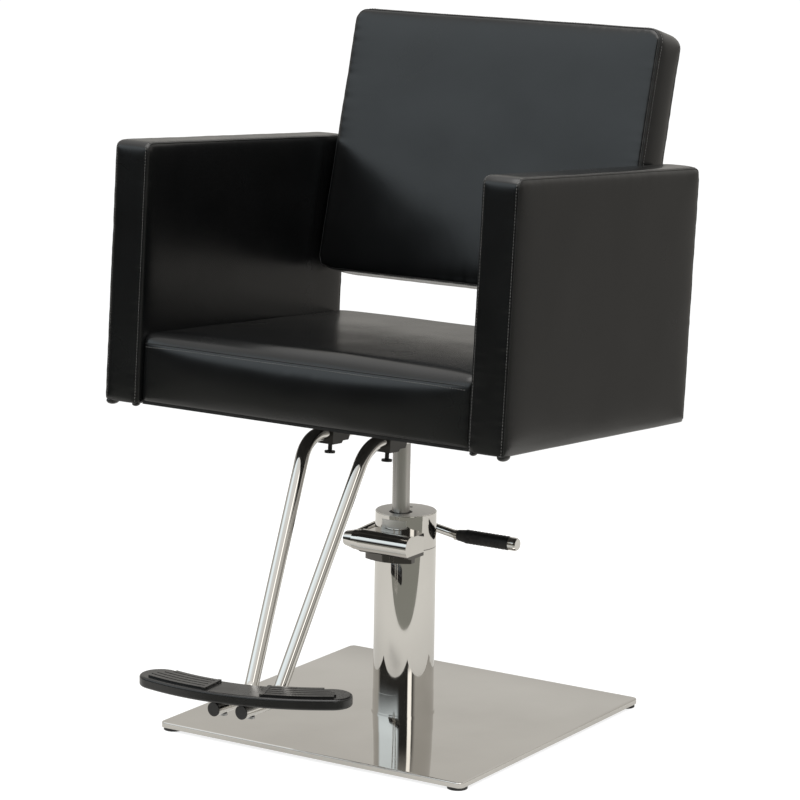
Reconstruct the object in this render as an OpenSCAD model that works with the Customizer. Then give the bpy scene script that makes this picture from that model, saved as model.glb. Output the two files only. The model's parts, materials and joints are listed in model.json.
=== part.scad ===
// Hydraulic styling chair for a hair salon: square steel base, foot-pumped column,
// box armchair seat and a sliding footrest. Front of the chair faces -Y, up is +Z.
// The origin is on the floor, on the axis of the column.

/* [Base] */
// Side of the square base
base_side = 500; // [440:5:600]
// Height of the base above its feet
base_height = 8; // [6:1:12]
// Corner radius of the base in plan
base_corner = 9; // [6:1:60]
// Thickness of the polished sheet over the base
base_skin = 1.2; // [0.8:0.1:2]
// Height of the feet
foot_height = 4; // [3:1:8]
// Radius of a foot
foot_radius = 14; // [12:0.5:24]
// Distance from a foot's centre to the base's edge
foot_inset = 14.5; // [14.5:0.5:50]

/* [Column] */
// Outside radius of the polished column sleeve
sleeve_radius = 43.7; // [40:0.1:55]
// Wall of the sleeve
sleeve_wall = 1.5; // [1:0.1:3]
// Height of the foot ring round the bottom of the sleeve, above the floor
foot_ring_top = 44; // [30:1:60]
// Height of the bottom of the pump head above the floor
head_bottom = 256; // [220:1:300]
// Height of the top of the pump head above the floor
head_top = 307; // [290:1:340]

/* [Lift] */
// Radius of the polished ram
ram_radius = 12.6; // [11:0.1:16]
// How far the ram stands in front of the column's axis
ram_forward = 14; // [0:0.5:14]
// Height of the piston's lower face with the seat at its middle height
piston_bottom = 112; // [108:1:120]
// Clearance of a running fit, on the radius
running_gap = 0.05; // [0.02:0.01:0.1]

/* [Pedal] */
// How far the pedal shaft lies in front of the column's axis
shaft_forward = 57; // [55:0.5:62]
// Height of the pedal shaft above the floor
shaft_height = 268.5; // [266:0.5:272]
// Radius of the barrel round the pedal shaft
barrel_radius = 16.5; // [15.8:0.1:18]
// Radius of the pedal shaft
shaft_radius = 7; // [6:0.1:7.5]
// Radius of the bent pedal rod
rod_radius = 6.3; // [5:0.1:7]
// Radius of the rubber grip at its outer end
grip_radius = 10.2; // [9:0.1:12]
// Length of the rubber grip
grip_length = 86; // [60:1:120]

/* [Seat] */
// Height of the seat's underside above the floor, over the column's axis
seat_height = 453.3; // [440:0.1:470]
// Backward tilt of the seat and arms
seat_tilt = 4.15; // [0:0.05:6]
// Overall width over the arms
seat_width = 643.4; // [600:0.2:700]
// Thickness of an arm
arm_thickness = 54; // [45:1:70]
// Front of an arm, ahead of the column's axis
arm_front = 281.5; // [270:0.5:300]
// Rear of an arm, behind the column's axis
arm_rear = 224.6; // [200:0.2:240]
// Height of an arm
arm_height = 361.4; // [340:0.2:380]
// Height of the seat cushion's edge above its underside
cushion_height = 98; // [80:1:110]
// How far the cushion's front stands behind the arms' fronts
cushion_setback = 7; // [2:0.5:15]
// Rear edge of the seat cushion, behind the column's axis
cushion_rear = 216; // [200:1:224]
// Thickness of the upholstery vinyl
vinyl = 2; // [1.5:0.1:3]

/* [Back] */
// Width of the back cushion
back_width = 508.7; // [460:0.1:520]
// Height of the back cushion, along its face
back_height = 388; // [350:0.5:450]
// Thickness of the back cushion
back_thickness = 66; // [50:1:90]
// Recline of the back from upright
back_recline = 15.1; // [5:0.1:20]
// Bottom front edge of the back cushion, behind the column's axis
back_y = 148.3; // [140:0.1:160]
// Height of the back cushion's bottom front edge above the floor
back_z = 613.9; // [605:0.1:620]

/* [Footrest] */
// Radius of a footrest tube
tube_radius = 9.5; // [8:0.1:12]
// Wall of a footrest tube
tube_wall = 1.5; // [1:0.1:2]
// Half the distance between the tubes under the seat
tube_half_top = 47; // [40:0.5:60]
// Half the distance between the tubes at the footrest plate
tube_half_bottom = 19; // [14:0.5:30]
// How far the tubes lean to the sitter's left on their way down
tube_lean = 5; // [0:0.5:8]
// Half the distance between the tubes' lower ends
tube_half_end = 19.4; // [14:0.1:30]
// How much further the sitter's right tube is pulled out of its clamp than the left one
tube_skew = 8.5; // [0:0.5:10]
// Half the length of the footrest plate
plate_half = 152; // [120:1:160]
// Depth of the footrest plate
plate_depth = 56; // [45:1:70]
// Thickness of the footrest plate
plate_thick = 15; // [10:0.5:20]
// Radius of the footrest plate's front edge
plate_radius = 330; // [280:5:500]

/* [Hidden] */
$fn = 96;
join = 0.01;                       // overlap that makes two bodies of one solid fuse
base_top = foot_height + base_height;
flange_top = base_top + 8;
reservoir_radius = 38;
reservoir_wall = 3;
cylinder_radius = 20.5;
cylinder_bore = 18;
bushing_radius = 16.5;
piston_length = 16;
spigot_radius = 8;
hub_bottom = 412;
hub_radius = 15.5;
hub_top = 446;
shaft_bore = 9.5;
cam_radius = 9;
cam_offset = 5.5;
cam_room = 14.8;
plunger_radius = 5;
plunger_back = 4;                  // plunger axis behind the shaft axis
plunger_floor = 246;
arm_inner = seat_width / 2 - arm_thickness;
cushion_half = arm_inner - 1.7;
arm_x = (seat_width - arm_thickness) / 2;
arm_bolt_from = cushion_half - 40;
arm_bolt_to = arm_x + 12;
board_thick = 18;
bar_thick = 5;
bracket_thick = 6;
arm_round = 12;
tube_drop = 27;                    // tube axis below the seat's underside
clamp_front = 137;
clamp_length = 50;
clamp_boss = 26;                   // length of the clamp's deep front part
clamp_half = 12.5;
clamp_bottom = 42;
clamp_screw_back = 13;             // clamp screw behind the clamp's front face
bars_at = [-75, 90];               // front and rear cross bars
tube_run_y = 0.567;                // forward travel of a tube's straight run per unit of drop
tube_end_y = -438;
tube_end_z = 116.5;
skew_angle = atan(tube_skew / (2 * tube_half_end));
plate_bottom = tube_end_z + tube_radius;
plate_y = -416;                    // front-to-back middle of the footrest plate
chrome = [0.78, 0.78, 0.80];
steel = [0.62, 0.63, 0.65];
black_vinyl = [0.07, 0.07, 0.08];
black_rubber = [0.10, 0.10, 0.10];
bare_wood = [0.72, 0.58, 0.40];

// ---- helpers ---------------------------------------------------------------

function unit(v) = v / norm(v);
// a point of the seat's own frame, in the chair's frame
function on_seat(p) = [p[0], p[1] * cos(seat_tilt) + p[2] * sin(seat_tilt),
                       seat_height - p[1] * sin(seat_tilt) + p[2] * cos(seat_tilt)];

module in_seat_frame() {
  translate([0, 0, seat_height]) rotate([-seat_tilt, 0, 0]) children();
}

module in_back_frame() {
  translate([0, back_y, back_z]) rotate([-back_recline, 0, 0]) children();
}

module ring(outer, inner, low, high) {
  translate([0, 0, low]) difference() {
    cylinder(r = outer, h = high - low);
    translate([0, 0, -1]) cylinder(r = inner, h = high - low + 2);
  }
}

module rod_between(a, b, r) {
  d = b - a;
  translate(a) rotate([0, acos(d[2] / norm(d)), atan2(d[1], d[0])]) cylinder(r = r, h = norm(d));
}

// The torus corner of a round bar that turns at p, coming from a and going to b
module elbow(a, p, b, bend, r) {
  u = unit(a - p);
  v = unit(b - p);
  turn = 180 - acos(u * v);
  centre = p + unit(u + v) * bend / cos(turn / 2);
  start = unit(p + u * bend * tan(turn / 2) - centre);
  normal = unit(cross(v, u));
  side = cross(normal, start);
  multmatrix([[start[0], side[0], normal[0], centre[0]],
              [start[1], side[1], normal[1], centre[1]],
              [start[2], side[2], normal[2], centre[2]],
              [0, 0, 0, 1]])
    rotate_extrude(angle = turn) translate([bend, 0]) circle(r = r);
}

function setback(a, p, b, bend) = bend * tan((180 - acos(unit(a - p) * unit(b - p))) / 2);

// A round bar through four points with two bends. The straight legs run a little way
// into each bend, which is drawn a hair thinner, so that the pieces fuse cleanly.
module bent_bar(p, bends, r) {
  overrun = 0.5;
  thinner = 0.02;
  s1 = setback(p[0], p[1], p[2], bends[0]) - overrun;
  s2 = setback(p[1], p[2], p[3], bends[1]) - overrun;
  rod_between(p[0], p[1] + unit(p[0] - p[1]) * s1, r);
  elbow(p[0], p[1], p[2], bends[0], r - thinner);
  rod_between(p[1] + unit(p[2] - p[1]) * s1, p[2] + unit(p[1] - p[2]) * s2, r);
  elbow(p[1], p[2], p[3], bends[1], r - thinner);
  rod_between(p[2] + unit(p[3] - p[2]) * s2, p[3], r);
}

// Rounded rectangle from the origin to [w, h], standing in the XY plane
module round_rect(w, h, r) {
  translate([r, 0]) square([w - 2 * r, h]);
  translate([0, r]) square([w, h - 2 * r]);
  for (x = [r, w - r], y = [r, h - r]) translate([x, y]) circle(r = r);
}

// Side profile with rounded top corners, drawn as [depth, height]
module top_rounded(front, rear, h, r_front, r_rear) {
  translate([front, 0]) square([rear - front, h - max(r_front, r_rear)]);
  translate([front + r_front, 0]) square([rear - front - r_front - r_rear, h]);
  translate([front + r_front, h - r_front]) circle(r = r_front);
  translate([rear - r_rear, h - r_rear]) circle(r = r_rear);
}

// Side profile in the YZ plane, pulled along X from x0 to x1
module side_block(x0, x1) {
  translate([x0, 0, 0]) rotate([90, 0, 90]) linear_extrude(x1 - x0) children();
}

module square_plate(side, r, low, high) {
  translate([-side / 2, -side / 2, low]) linear_extrude(high - low) round_rect(side, side, r);
}

module at_bolts(pitch_radius) {
  for (a = [45:90:315]) rotate(a) translate([pitch_radius, 0, 0]) children();
}

module bolt(head_r, head_h, shank_r, low, high) {
  translate([0, 0, low]) cylinder(r = head_r, h = head_h);
  translate([0, 0, low + head_h - join]) cylinder(r = shank_r, h = high - low - head_h + join);
}

// ---- base ------------------------------------------------------------------

module base_cover() {
  color(chrome) difference() {
    square_plate(base_side, base_corner, foot_height, base_top);
    square_plate(base_side - 2 * base_skin, base_corner - base_skin, foot_height - 1, base_top - base_skin);
    at_bolts(32) translate([0, 0, foot_height]) cylinder(r = 4.2, h = base_height + 1);
  }
}

module base_plate() {
  color(steel) difference() {
    square_plate(base_side - 2 * base_skin, base_corner - base_skin, foot_height, base_top - base_skin);
    at_bolts(32) translate([0, 0, foot_height - 1]) cylinder(r = 4.2, h = base_height + 1);
  }
}

module base_feet() {
  foot_at = base_side / 2 - foot_inset;
  color(black_rubber) for (x = [-foot_at, foot_at], y = [-foot_at, foot_at])
    translate([x, y, 0]) cylinder(r = foot_radius, h = foot_height);
}

module centre_pad() {
  color(black_rubber) cylinder(r = 22, h = foot_height);
}

module pump_flange() {
  color(steel) difference() {
    translate([0, 0, base_top]) cylinder(r = 41.5, h = flange_top - base_top);
    at_bolts(32) translate([0, 0, base_top - 1]) cylinder(r = 4, h = 10);
  }
}

module flange_bolts() {
  color(steel) at_bolts(32) bolt(6.5, 3, 4, foot_height - 3, flange_top - 0.5);
}

// ---- pump ------------------------------------------------------------------

module column_foot_ring() {
  color(chrome) {
    ring(sleeve_radius + 0.4, sleeve_radius - sleeve_wall, base_top, foot_ring_top);
    ring(sleeve_radius + 1.8, sleeve_radius, base_top, base_top + 2.5);
  }
}

module column_sleeve() {
  color(chrome) ring(sleeve_radius, sleeve_radius - sleeve_wall, foot_ring_top, head_bottom);
}

module pump_reservoir() {
  color(steel) ring(reservoir_radius, reservoir_radius - reservoir_wall, flange_top, head_bottom);
}

module pump_cylinder() {
  color(steel) translate([0, -ram_forward, 0]) ring(cylinder_radius, cylinder_bore, flange_top, head_bottom);
}

module pump_head() {
  block_left = -30;
  block_right = 46;
  barrel_left = -36;
  color(chrome) difference() {
    union() {
      translate([0, 0, head_bottom]) cylinder(r = sleeve_radius, h = head_top - head_bottom - 1);
      translate([0, 0, head_top - 1]) cylinder(r = sleeve_radius - 1, h = 1);
      translate([barrel_left, -shaft_forward, shaft_height]) rotate([0, 90, 0])
        cylinder(r = barrel_radius, h = block_right - barrel_left);
      translate([block_left, -shaft_forward, shaft_height - barrel_radius])
        cube([block_right - block_left, shaft_forward - 25, 2 * barrel_radius - 1]);
      chin(block_left, block_right - 4);
    }
    translate([0, 0, head_bottom - 20]) cylinder(r = sleeve_radius + 0.2, h = 20);
    translate([0, -ram_forward, head_bottom - 1]) cylinder(r = bushing_radius, h = 60);
    translate([barrel_left - 1, -shaft_forward, shaft_height]) rotate([0, 90, 0])
      cylinder(r = shaft_bore, h = block_right - barrel_left - 3);
    translate([-8, -shaft_forward, shaft_height]) rotate([0, 90, 0]) cylinder(r = cam_room, h = 16);
    translate([0, plunger_back - shaft_forward, plunger_floor])
      cylinder(r = plunger_radius + running_gap, h = 14);
    translate([-4, 19, head_top - 8]) cylinder(r = 3, h = 10);
  }
}

// The lip under the barrel, curved round the column and just clear of the sleeve
module chin(left, right) {
  intersection() {
    ring(66, sleeve_radius + 0.2, head_bottom - 12, head_bottom + join);
    translate([left, -80, 200]) cube([right - left, 38, 60]);
  }
}

module ram_bushing() {
  color("goldenrod") translate([0, -ram_forward, 0])
    ring(bushing_radius, ram_radius + running_gap, head_bottom, head_top - 6);
}

module ram_wiper() {
  color(black_rubber) translate([0, -ram_forward, 0])
    ring(bushing_radius, ram_radius + running_gap, head_top - 6, head_top - 0.5);
}

module filler_plug() {
  color(black_rubber) translate([-4, 19, head_top - 8]) cylinder(r = 3, h = 7.5);
}

module head_label_plate() {
  color("lightgray") intersection() {
    ring(sleeve_radius + 0.5, sleeve_radius, head_bottom + 33, head_bottom + 44.5);
    translate([-14, -50, head_bottom]) cube([38, 30, 60]);
  }
}

module shaft_bushings() {
  color("goldenrod") translate([0, -shaft_forward, shaft_height]) rotate([0, 90, 0]) {
    ring(shaft_bore, shaft_radius + running_gap, -35, -9);
    ring(shaft_bore, shaft_radius + running_gap, 9, 40);
  }
}

module check_valve() {
  color("goldenrod") translate([0, -ram_forward, flange_top]) cylinder(r = 12, h = 6);
}

// ---- lift ------------------------------------------------------------------

module piston() {
  color(steel) translate([0, -ram_forward, 0]) difference() {
    ring(cylinder_bore - running_gap, spigot_radius + running_gap, piston_bottom, piston_bottom + piston_length);
    ring(cylinder_bore + 1, 15.5, piston_bottom + 5, piston_bottom + 11);
  }
}

module piston_seal() {
  color(black_rubber) translate([0, -ram_forward, 0])
    ring(cylinder_bore - 0.03, 15.5, piston_bottom + 5, piston_bottom + 11);
}

module ram() {
  shoulder = piston_bottom + piston_length + 0.1;
  color("silver") translate([0, -ram_forward, 0]) {
    translate([0, 0, shoulder]) cylinder(r = ram_radius, h = hub_top - shoulder);
    translate([0, 0, piston_bottom - 5]) cylinder(r = spigot_radius, h = shoulder - piston_bottom + 5 + join);
  }
}

module ram_retainer() {
  color(steel) translate([0, -ram_forward, 0]) ring(12, spigot_radius, piston_bottom - 3, piston_bottom - 0.1);
}

// ---- under the seat ----------------------------------------------------------

module seat_hub() {
  color("gray") translate([0, -ram_forward, 0]) difference() {
    union() {
      translate([0, 0, hub_bottom + 3]) cylinder(r = hub_radius, h = hub_top - hub_bottom - 3);
      translate([0, 0, hub_bottom]) cylinder(r1 = hub_radius - 2, r2 = hub_radius, h = 3 + join);
    }
    translate([0, 0, hub_bottom - 1]) cylinder(r = ram_radius, h = 80);
  }
}

module bracket_plate() {
  color("gray") difference() {
    in_seat_frame() translate([-62, -clamp_front, -bar_thick - bracket_thick])
      cube([124, clamp_front + 113, bracket_thick]);
    translate([0, -ram_forward, hub_bottom]) cylinder(r = hub_radius, h = 90);
    in_seat_frame() at_bracket_bolts() translate([0, 0, -20]) cylinder(r = 4, h = 30);
  }
}

module at_bracket_bolts() {
  for (x = [-24, 24], y = bars_at) translate([x, y, 0]) children();
}

// Two bolts on each side that join an arm to the seat board, pointing outwards along X
module at_arm_bolts() {
  for (side = [0, 1], y = [-150, 120])
    mirror([side, 0, 0]) translate([arm_bolt_from, y, board_thick / 2]) rotate([0, 90, 0]) children();
}

module arm_bolt_hole() { cylinder(r = 4, h = arm_bolt_to - arm_bolt_from + 1); }

module bracket_bolts() {
  color(steel) in_seat_frame() at_bracket_bolts() bolt(6.5, 5, 4, -16, 12);
}

module cross_bars() {
  color("dimgray") in_seat_frame() difference() {
    for (y = bars_at) translate([-215, y - 20, -bar_thick]) cube([430, 40, bar_thick]);
    at_bracket_bolts() translate([0, 0, -20]) cylinder(r = 4, h = 30);
    at_bar_screws() translate([0, 0, -20]) cylinder(r = 3, h = 30);
  }
}

// Wood screws through the ends of the cross bars into the seat board
module at_bar_screws() {
  for (x = [-195, 195], y = bars_at) translate([x, y, 0]) children();
}

module bar_screws() {
  color(steel) in_seat_frame() at_bar_screws() bolt(5.5, 3, 3, -bar_thick - 3, 12);
}

module arm_bolts() {
  color(steel) in_seat_frame() at_arm_bolts() {
    cylinder(r = 4, h = arm_bolt_to - arm_bolt_from - 4 + join);
    translate([0, 0, arm_bolt_to - arm_bolt_from - 4]) cylinder(r = 6.5, h = 4);
  }
}

// The block that holds a footrest tube: a deep boss at the front for the clamp screw,
// then a sleeve that ends in a slope, with the bore for the tube right through
module tube_clamp(x) {
  top = -bar_thick - bracket_thick;
  sleeve_bottom = -tube_drop - tube_radius - 2;
  color("dimgray") in_seat_frame() difference() {
    translate([0, -clamp_front, 0]) side_block(x - clamp_half, x + clamp_half)
      polygon([[0, top], [0, -clamp_bottom], [clamp_boss - 3, -clamp_bottom],
               [clamp_boss, sleeve_bottom], [clamp_length - 10, sleeve_bottom],
               [clamp_length, top - 8], [clamp_length, top]]);
    translate([x, -clamp_front - 1, -tube_drop]) rotate([-90, 0, 0])
      cylinder(r = tube_radius + running_gap, h = clamp_length + 2);
    translate([x, clamp_screw_back - clamp_front, -clamp_bottom - 1])
      cylinder(r = 3 + running_gap, h = clamp_bottom - tube_drop);
  }
}

module tube_clamp_left() { tube_clamp(tube_half_top); }
module tube_clamp_right() { tube_clamp(-tube_half_top); }

module clamp_screw(x) {
  color(black_rubber) in_seat_frame() translate([x, clamp_screw_back - clamp_front, 0])
    bolt(7.5, 3, 3, -clamp_bottom - 14, -tube_drop - tube_radius - 0.1);
}

module clamp_screw_left() { clamp_screw(tube_half_top); }
module clamp_screw_right() { clamp_screw(-tube_half_top); }

// ---- upholstery ----------------------------------------------------------------

module seat_block(inset, low) {
  side_block(-cushion_half + inset, cushion_half - inset)
    intersection() {
      top_rounded(-arm_front + cushion_setback + inset, cushion_rear - inset,
                  cushion_height - inset, 14 - inset, 8 - inset);
      translate([-500, low]) square([1000, 500]);
    }
}

module seat_board() {
  color(bare_wood) in_seat_frame() difference() {
    intersection() {
      seat_block(vinyl, 0);
      translate([-500, -500, 0]) cube([1000, 1000, board_thick]);
    }
    at_bracket_bolts() translate([0, 0, -1]) cylinder(r = 4, h = 13);
    at_bar_screws() translate([0, 0, -1]) cylinder(r = 3, h = 13);
    at_arm_bolts() arm_bolt_hole();
  }
}

module seat_foam() {
  color("khaki") in_seat_frame() seat_block(vinyl, board_thick);
}

module seat_cover() {
  color(black_vinyl) in_seat_frame() difference() {
    seat_block(0, 0);
    seat_block(vinyl, -1);
    at_arm_bolts() arm_bolt_hole();
  }
}

module arm_block(x, inset, low) {
  half = arm_thickness / 2 - inset;
  side_block(x - half, x + half)
    intersection() {
      top_rounded(-arm_front + inset, arm_rear - inset, arm_height - inset, arm_round - inset, arm_round - inset);
      translate([-500, low]) square([1000, 500]);
    }
}

module arm_frame_shape(x) {
  translate([x - 12, -arm_front + 16, 0]) cube([24, arm_front + arm_rear - 32, arm_height - 16]);
}

module arm_frame(x) {
  color(bare_wood) in_seat_frame() difference() {
    arm_frame_shape(x);
    at_arm_bolts() {
      arm_bolt_hole();
      translate([0, 0, arm_bolt_to - arm_bolt_from - 4]) cylinder(r = 6.5, h = 10);
    }
  }
}

module arm_foam(x) {
  color("khaki") in_seat_frame() difference() {
    arm_block(x, vinyl, 0);
    arm_frame_shape(x);
    translate([x - 12, -arm_front + 16, -1]) cube([24, arm_front + arm_rear - 32, 5]);
    at_arm_bolts() arm_bolt_hole();
  }
}

module arm_cover(x) {
  color(black_vinyl) in_seat_frame() difference() {
    arm_block(x, 0, 0);
    arm_block(x, vinyl, -1);
    at_arm_bolts() arm_bolt_hole();
  }
}

module arm_frame_left() { arm_frame(arm_x); }
module arm_foam_left() { arm_foam(arm_x); }
module arm_cover_left() { arm_cover(arm_x); }
module arm_frame_right() { arm_frame(-arm_x); }
module arm_foam_right() { arm_foam(-arm_x); }
module arm_cover_right() { arm_cover(-arm_x); }

// Back cushion, in its own frame: bottom front edge on the X axis, face upwards along Z
module back_block(inset, low) {
  w = back_width - 2 * inset;
  intersection() {
    translate([-w / 2, back_thickness - inset, inset]) rotate([90, 0, 0])
      linear_extrude(back_thickness - 2 * inset) round_rect(w, back_height - 2 * inset, 20 - inset);
    translate([-500, -10, low]) cube([1000, 100, 500]);
  }
}

module back_board_shape() {
  translate([-238, back_thickness - 16, 14]) cube([476, 12, back_height - 28]);
}

module back_board() {
  color(bare_wood) in_back_frame() difference() {
    back_board_shape();
    at_back_screws(212) rotate([0, 90, 0]) cylinder(r = 3, h = 30);
  }
}

module back_foam() {
  color("khaki") in_back_frame() difference() {
    back_block(vinyl, 0);
    back_board_shape();
    at_back_screws(200) rotate([0, 90, 0]) cylinder(r = 3, h = 90);
  }
}

module back_cover() {
  color(black_vinyl) in_back_frame() difference() {
    back_block(0, 0);
    back_block(vinyl, 0);
    translate([-210, vinyl + 6, -1]) cube([420, 48, 10]);
    at_back_screws(200) rotate([0, 90, 0]) cylinder(r = 3, h = 90);
  }
}

// Two fixing screws on each side, at the given distance from the middle, pointing along +X
module at_back_screws(x) {
  for (side = [0, 1], z = [60, 140]) mirror([side, 0, 0]) translate([x, back_thickness - 10, z]) children();
}

module back_brackets() {
  gap = arm_inner - back_width / 2;
  color("dimgray") in_back_frame() difference() {
    for (side = [0, 1]) mirror([side, 0, 0])
      translate([back_width / 2, back_thickness - 30, 40]) cube([gap, 26, 120]);
    at_back_screws(200) rotate([0, 90, 0]) cylinder(r = 3, h = 90);
  }
}

module back_screws() {
  reach = arm_inner - 0.1;
  color(steel) in_back_frame() at_back_screws(213) rotate([0, 90, 0]) cylinder(r = 3, h = reach - 213);
}

// ---- footrest ------------------------------------------------------------------

// Route of a tube: inner end, top corner, bottom corner, lower end.
// side is +1 for the sitter's left, -1 for the right; the right tube is pulled out by
// half the skew and the left one pushed in by half of it.
function tube_route(side) =
  let (pull = -side * tube_skew / 2,
       top_y = -180,
       top = on_seat([side * tube_half_top, top_y, -tube_drop]),
       inner = on_seat([side * tube_half_top, top_y + 120, -tube_drop]),
       low_y = top[1] - (top[2] - tube_end_z) * tube_run_y,
       shift = on_seat([0, -pull, 0]) - on_seat([0, 0, 0]))
  [inner + shift, top + shift,
   [side * tube_half_bottom + tube_lean, low_y - pull, tube_end_z],
   [side * tube_half_end, tube_end_y - pull, tube_end_z]];

module footrest_tube(side) {
  route = tube_route(side);
  bends = [50, 34];
  ends = [route[0] + unit(route[0] - route[1]), route[1], route[2], route[3] + unit(route[3] - route[2])];
  color(chrome) difference() {
    bent_bar(route, bends, tube_radius);
    bent_bar(ends, bends, tube_radius - tube_wall);
    in_plate_frame() at_footrest_screws() translate([0, 0, -2 * tube_radius - 2])
      cylinder(r = 2.5, h = 2 * tube_radius + 4);
  }
}

module footrest_tube_left() { footrest_tube(1); }
module footrest_tube_right() { footrest_tube(-1); }

module tube_plugs() {
  color(black_rubber) for (side = [-1, 1]) {
    r = tube_route(side);
    out = unit(r[3] - r[2]);
    rod_between(r[3] - out * 12, r[3] + out * join, tube_radius - tube_wall);
    rod_between(r[3], r[3] + out * 2, tube_radius);
  }
}

// Frame of the footrest plate: origin at its middle, on its underside
module in_plate_frame() {
  translate([0, plate_y, plate_bottom]) rotate(skew_angle) children();
}

plate_centre = plate_radius - plate_depth / 2;       // centre line radius of the bent plate
plate_sweep = asin((plate_half - plate_depth / 2) / plate_centre);

// An arc band of the plate: a profile [radius, height] swept from angle a0 to a1,
// measured from straight ahead, positive towards the sitter's left
module swept(a0, a1) {
  translate([0, plate_centre, 0]) rotate(-90 + a0) rotate_extrude(angle = a1 - a0) children();
}

module plate_half_profile(half, h, r) {
  square([half - r, h]);
  translate([0, r]) square([half, h - 2 * r]);
  translate([half - r, r]) circle(r = r);
  translate([half - r, h - r]) circle(r = r);
}

module footrest_plate() {
  edge = 3.5;
  half = plate_depth / 2;
  color(black_rubber) in_plate_frame() difference() {
    union() {
      swept(-plate_sweep, plate_sweep) translate([plate_centre - half, 0]) round_rect(plate_depth, plate_thick, edge);
      for (a = [-plate_sweep, plate_sweep])
        translate([0, plate_centre, 0]) rotate(-90 + a) translate([plate_centre, 0, 0])
          rotate_extrude() intersection() {
            plate_half_profile(half, plate_thick, edge);
            square([100, 100]);
          }
    }
    at_footrest_screws() translate([0, 0, -1]) cylinder(r = 2.5, h = 9);
  }
}

// The tube under the middle of the plate, at the screw through each tube
module at_footrest_screws() {
  for (side = [-1, 1]) {
    r = tube_route(side);
    along = (plate_y - 2 + side * tube_skew / 2 - r[3][1]) / (r[2][1] - r[3][1]);
    p = r[3] + (r[2] - r[3]) * along;
    rotate(-skew_angle) translate([p[0], p[1] - plate_y, 0]) children();
  }
}

module footrest_screws() {
  color(steel) in_plate_frame() at_footrest_screws()
    bolt(5, 3, 2.5, -2 * tube_radius - 3, 7);
}

// Ribbed tread: curved ribs along the plate, closed by a straight rib at the inner end
module tread(side) {
  half = plate_depth / 2;
  rib_at = [for (i = [0:4]) plate_centre - half + 8.5 + i * (plate_depth - 15) / 4.6];
  outer_end = [22.5, 24.0, 25.0, 25.2, 24.6];
  color(black_rubber) in_plate_frame() translate([0, 0, plate_thick]) {
    for (i = [0:4]) {
      a0 = side > 0 ? 7.5 : -outer_end[i];
      a1 = side > 0 ? outer_end[i] : -7.5;
      swept(a0, a1) translate([rib_at[i] - 3.4, 0]) square([6.8, 2.5]);
    }
    swept(side > 0 ? 6.9 : -7.9, side > 0 ? 7.9 : -6.9)
      translate([plate_centre - half + 5, 0]) square([plate_depth - 11, 3]);
  }
}

module tread_left() { tread(1); }
module tread_right() { tread(-1); }

// ---- pedal -------------------------------------------------------------------

module on_shaft() {
  translate([0, -shaft_forward, shaft_height]) rotate([0, 90, 0]) children();
}

module pedal_shaft() {
  color(steel) on_shaft() translate([0, 0, -58]) cylinder(r = shaft_radius, h = 97.5);
}

// Cam keyed to the shaft; its round nose pushes the plunger down when the pedal goes down
module shaft_cam() {
  color(steel) difference() {
    union() {
      on_shaft() translate([0, 0, -6]) cylinder(r = 8, h = 12);
      translate([0, cam_offset, 0]) on_shaft() translate([0, 0, -6]) cylinder(r = cam_radius, h = 12);
    }
    on_shaft() translate([0, 0, -20]) cylinder(r = shaft_radius, h = 40);
  }
}

module shaft_end_cap() {
  color(chrome) difference() {
    on_shaft() {
      translate([0, 0, -63]) cylinder(r1 = 10.5, r2 = 14.2, h = 15 + join);
      translate([0, 0, -48]) cylinder(r = 14.2, h = 7 + join);
      translate([0, 0, -41]) cylinder(r = 15, h = 4.5);
    }
    on_shaft() translate([0, 0, -58]) cylinder(r = shaft_radius, h = 40);
    rod_between(pedal_route()[0] - [0, 1, 0], pedal_route()[1], rod_radius);
  }
}

// Route of the pedal rod: out of the end cap, back past the column, round behind it
function pedal_route() =
  [[-56, -shaft_forward + shaft_radius + 0.5, shaft_height + 3],
   [-57, 82, shaft_height + 11],
   [0, 82, shaft_height - 3.3],
   [grip_start - 2.5, grip_y, grip_z]];

grip_start = 46;
grip_y = 70;
grip_z = 262.6;
grip_neck = 14;

module pedal_arm() {
  route = pedal_route();
  color(chrome) {
    bent_bar(route, [24, 24], rod_radius);
    translate([grip_start - 5, grip_y, grip_z]) rotate([0, 90, 0]) {
      cylinder(r = rod_radius + 1.2, h = 5);
      cylinder(r = 4.6, h = grip_length + 13);
    }
  }
}

module pedal_grip() {
  color(black_rubber) difference() {
    translate([grip_start, grip_y, grip_z]) rotate([0, 90, 0]) {
      cylinder(r1 = grip_radius - 2.4, r2 = grip_radius - 0.5, h = grip_neck);
      translate([0, 0, grip_neck - join]) cylinder(r = grip_radius - 0.5, h = grip_length - grip_neck + join);
      for (along = [grip_neck:6:grip_length - 3]) translate([0, 0, along]) cylinder(r = grip_radius, h = 2.5);
    }
    translate([grip_start - 1, grip_y, grip_z]) rotate([0, 90, 0]) cylinder(r = 4.6, h = grip_length + 2);
  }
}

module pedal_tip() {
  color(chrome) difference() {
    translate([grip_start + grip_length, grip_y, grip_z]) rotate([0, 90, 0]) {
      cylinder(r = 9.6, h = 9);
      translate([0, 0, 9 - join]) cylinder(r1 = 9.6, r2 = 8, h = 3);
    }
    translate([grip_start, grip_y, grip_z]) rotate([0, 90, 0]) cylinder(r = 4.6, h = grip_length + 8);
  }
}

plunger_top = shaft_height - cam_radius - 0.1;
plunger_bottom = plunger_floor + 4;

module at_plunger() {
  translate([0, plunger_back - shaft_forward, 0]) children();
}

module plunger() {
  color(steel) at_plunger() difference() {
    translate([0, 0, plunger_bottom]) cylinder(r = plunger_radius, h = plunger_top - plunger_bottom);
    translate([0, 0, plunger_bottom - 1]) cylinder(r = 3, h = 7);
  }
}

module plunger_spring() {
  color(steel) at_plunger() ring(2.8, 2.1, plunger_floor, plunger_bottom + 6);
}

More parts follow.
